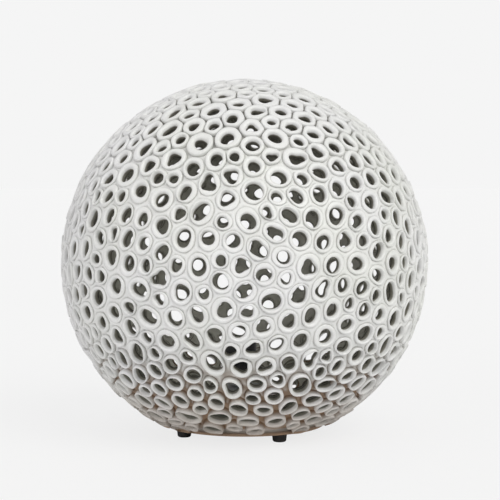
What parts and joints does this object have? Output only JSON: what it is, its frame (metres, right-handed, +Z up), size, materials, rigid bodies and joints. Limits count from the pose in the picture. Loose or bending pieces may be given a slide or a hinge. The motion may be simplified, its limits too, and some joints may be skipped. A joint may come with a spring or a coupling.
{
  "type": "pierced globe lamp",
  "caption": "White glazed ceramic globe lamp, pierced all over with round holes, on small rubber feet, with a black screw-in lampholder on a removable steel base pan.",
  "frame": {"origin": "on the floor under the centre of the globe", "axes": "+Z up through the globe's centre, -Y towards the side that shows the most of the two front feet, +X to that side's right"},
  "size_m": [0.3955, 0.3955, 0.384],
  "materials": {
    "white_glaze": "satin white glaze over brown clay",
    "black_rubber": "moulded, matt",
    "black_foam": "closed-cell sheet, matt",
    "zinc_plate": "pressed steel, zinc plated",
    "brass": "turned brass",
    "nickel_plate": "nickel-plated brass",
    "spring_bronze": "rolled phosphor bronze",
    "black_phenolic": "moulded phenolic, satin gloss",
    "black_nylon": "moulded nylon",
    "porcelain": "glazed steatite"
  },
  "bodies": {
    "globe": {"ceramic_globe": "white_glaze", "foot_back_right": "black_rubber", "foot_back_left": "black_rubber", "foot_front_left": "black_rubber", "foot_front_right": "black_rubber", "well_nut_sleeve_1": "black_rubber", "well_nut_insert_1": "brass", "well_nut_sleeve_2": "black_rubber", "well_nut_insert_2": "brass", "well_nut_sleeve_3": "black_rubber", "well_nut_insert_3": "brass"},
    "lamp_base": {"base_pan": "zinc_plate", "flange_gasket": "black_foam", "threaded_tube": "zinc_plate", "plain_washer": "zinc_plate", "upper_nut": "zinc_plate", "lower_nut": "zinc_plate", "toothed_washer": "zinc_plate", "tube_bushing": "black_nylon", "holder_cap": "black_phenolic", "holder_grub_screw": "zinc_plate", "holder_body": "black_phenolic", "porcelain_insert": "porcelain", "live_terminal": "brass", "live_terminal_screw": "zinc_plate", "neutral_terminal": "brass", "neutral_terminal_screw": "zinc_plate", "screw_shell": "nickel_plate", "shell_rivet": "nickel_plate", "contact_rivet": "nickel_plate"},
    "centre_contact": {"centre_contact": "spring_bronze"},
    "thumb_screw_1": {"thumb_screw_1": "zinc_plate"},
    "thumb_screw_2": {"thumb_screw_2": "zinc_plate"},
    "thumb_screw_3": {"thumb_screw_3": "zinc_plate"}
  },
  "joints": [
    {"name": "base_removal", "type": "slide", "parent": "globe", "child": "lamp_base", "axis": [0, 0, -1], "range_m": [0, 0.12]},
    {"name": "centre_contact_flex", "type": "hinge", "parent": "lamp_base", "child": "centre_contact", "pos_m": [-0.01, 0, 0.0813], "axis": [0, 1, 0], "range_deg": [0, 5], "stiffness_Nm_per_rad": 0.45},
    {"name": "thumb_screw_1_turn", "type": "hinge", "parent": "lamp_base", "child": "thumb_screw_1", "pos_m": [0.01226, 0.05011, 0], "axis": [0, 0, 1], "continuous": true},
    {"name": "thumb_screw_2_turn", "type": "hinge", "parent": "lamp_base", "child": "thumb_screw_2", "pos_m": [-0.05703, -0.01011, 0], "axis": [0, 0, 1], "continuous": true},
    {"name": "thumb_screw_3_turn", "type": "hinge", "parent": "lamp_base", "child": "thumb_screw_3", "pos_m": [0.02977, -0.04, 0], "axis": [0, 0, 1], "continuous": true}
  ]
}
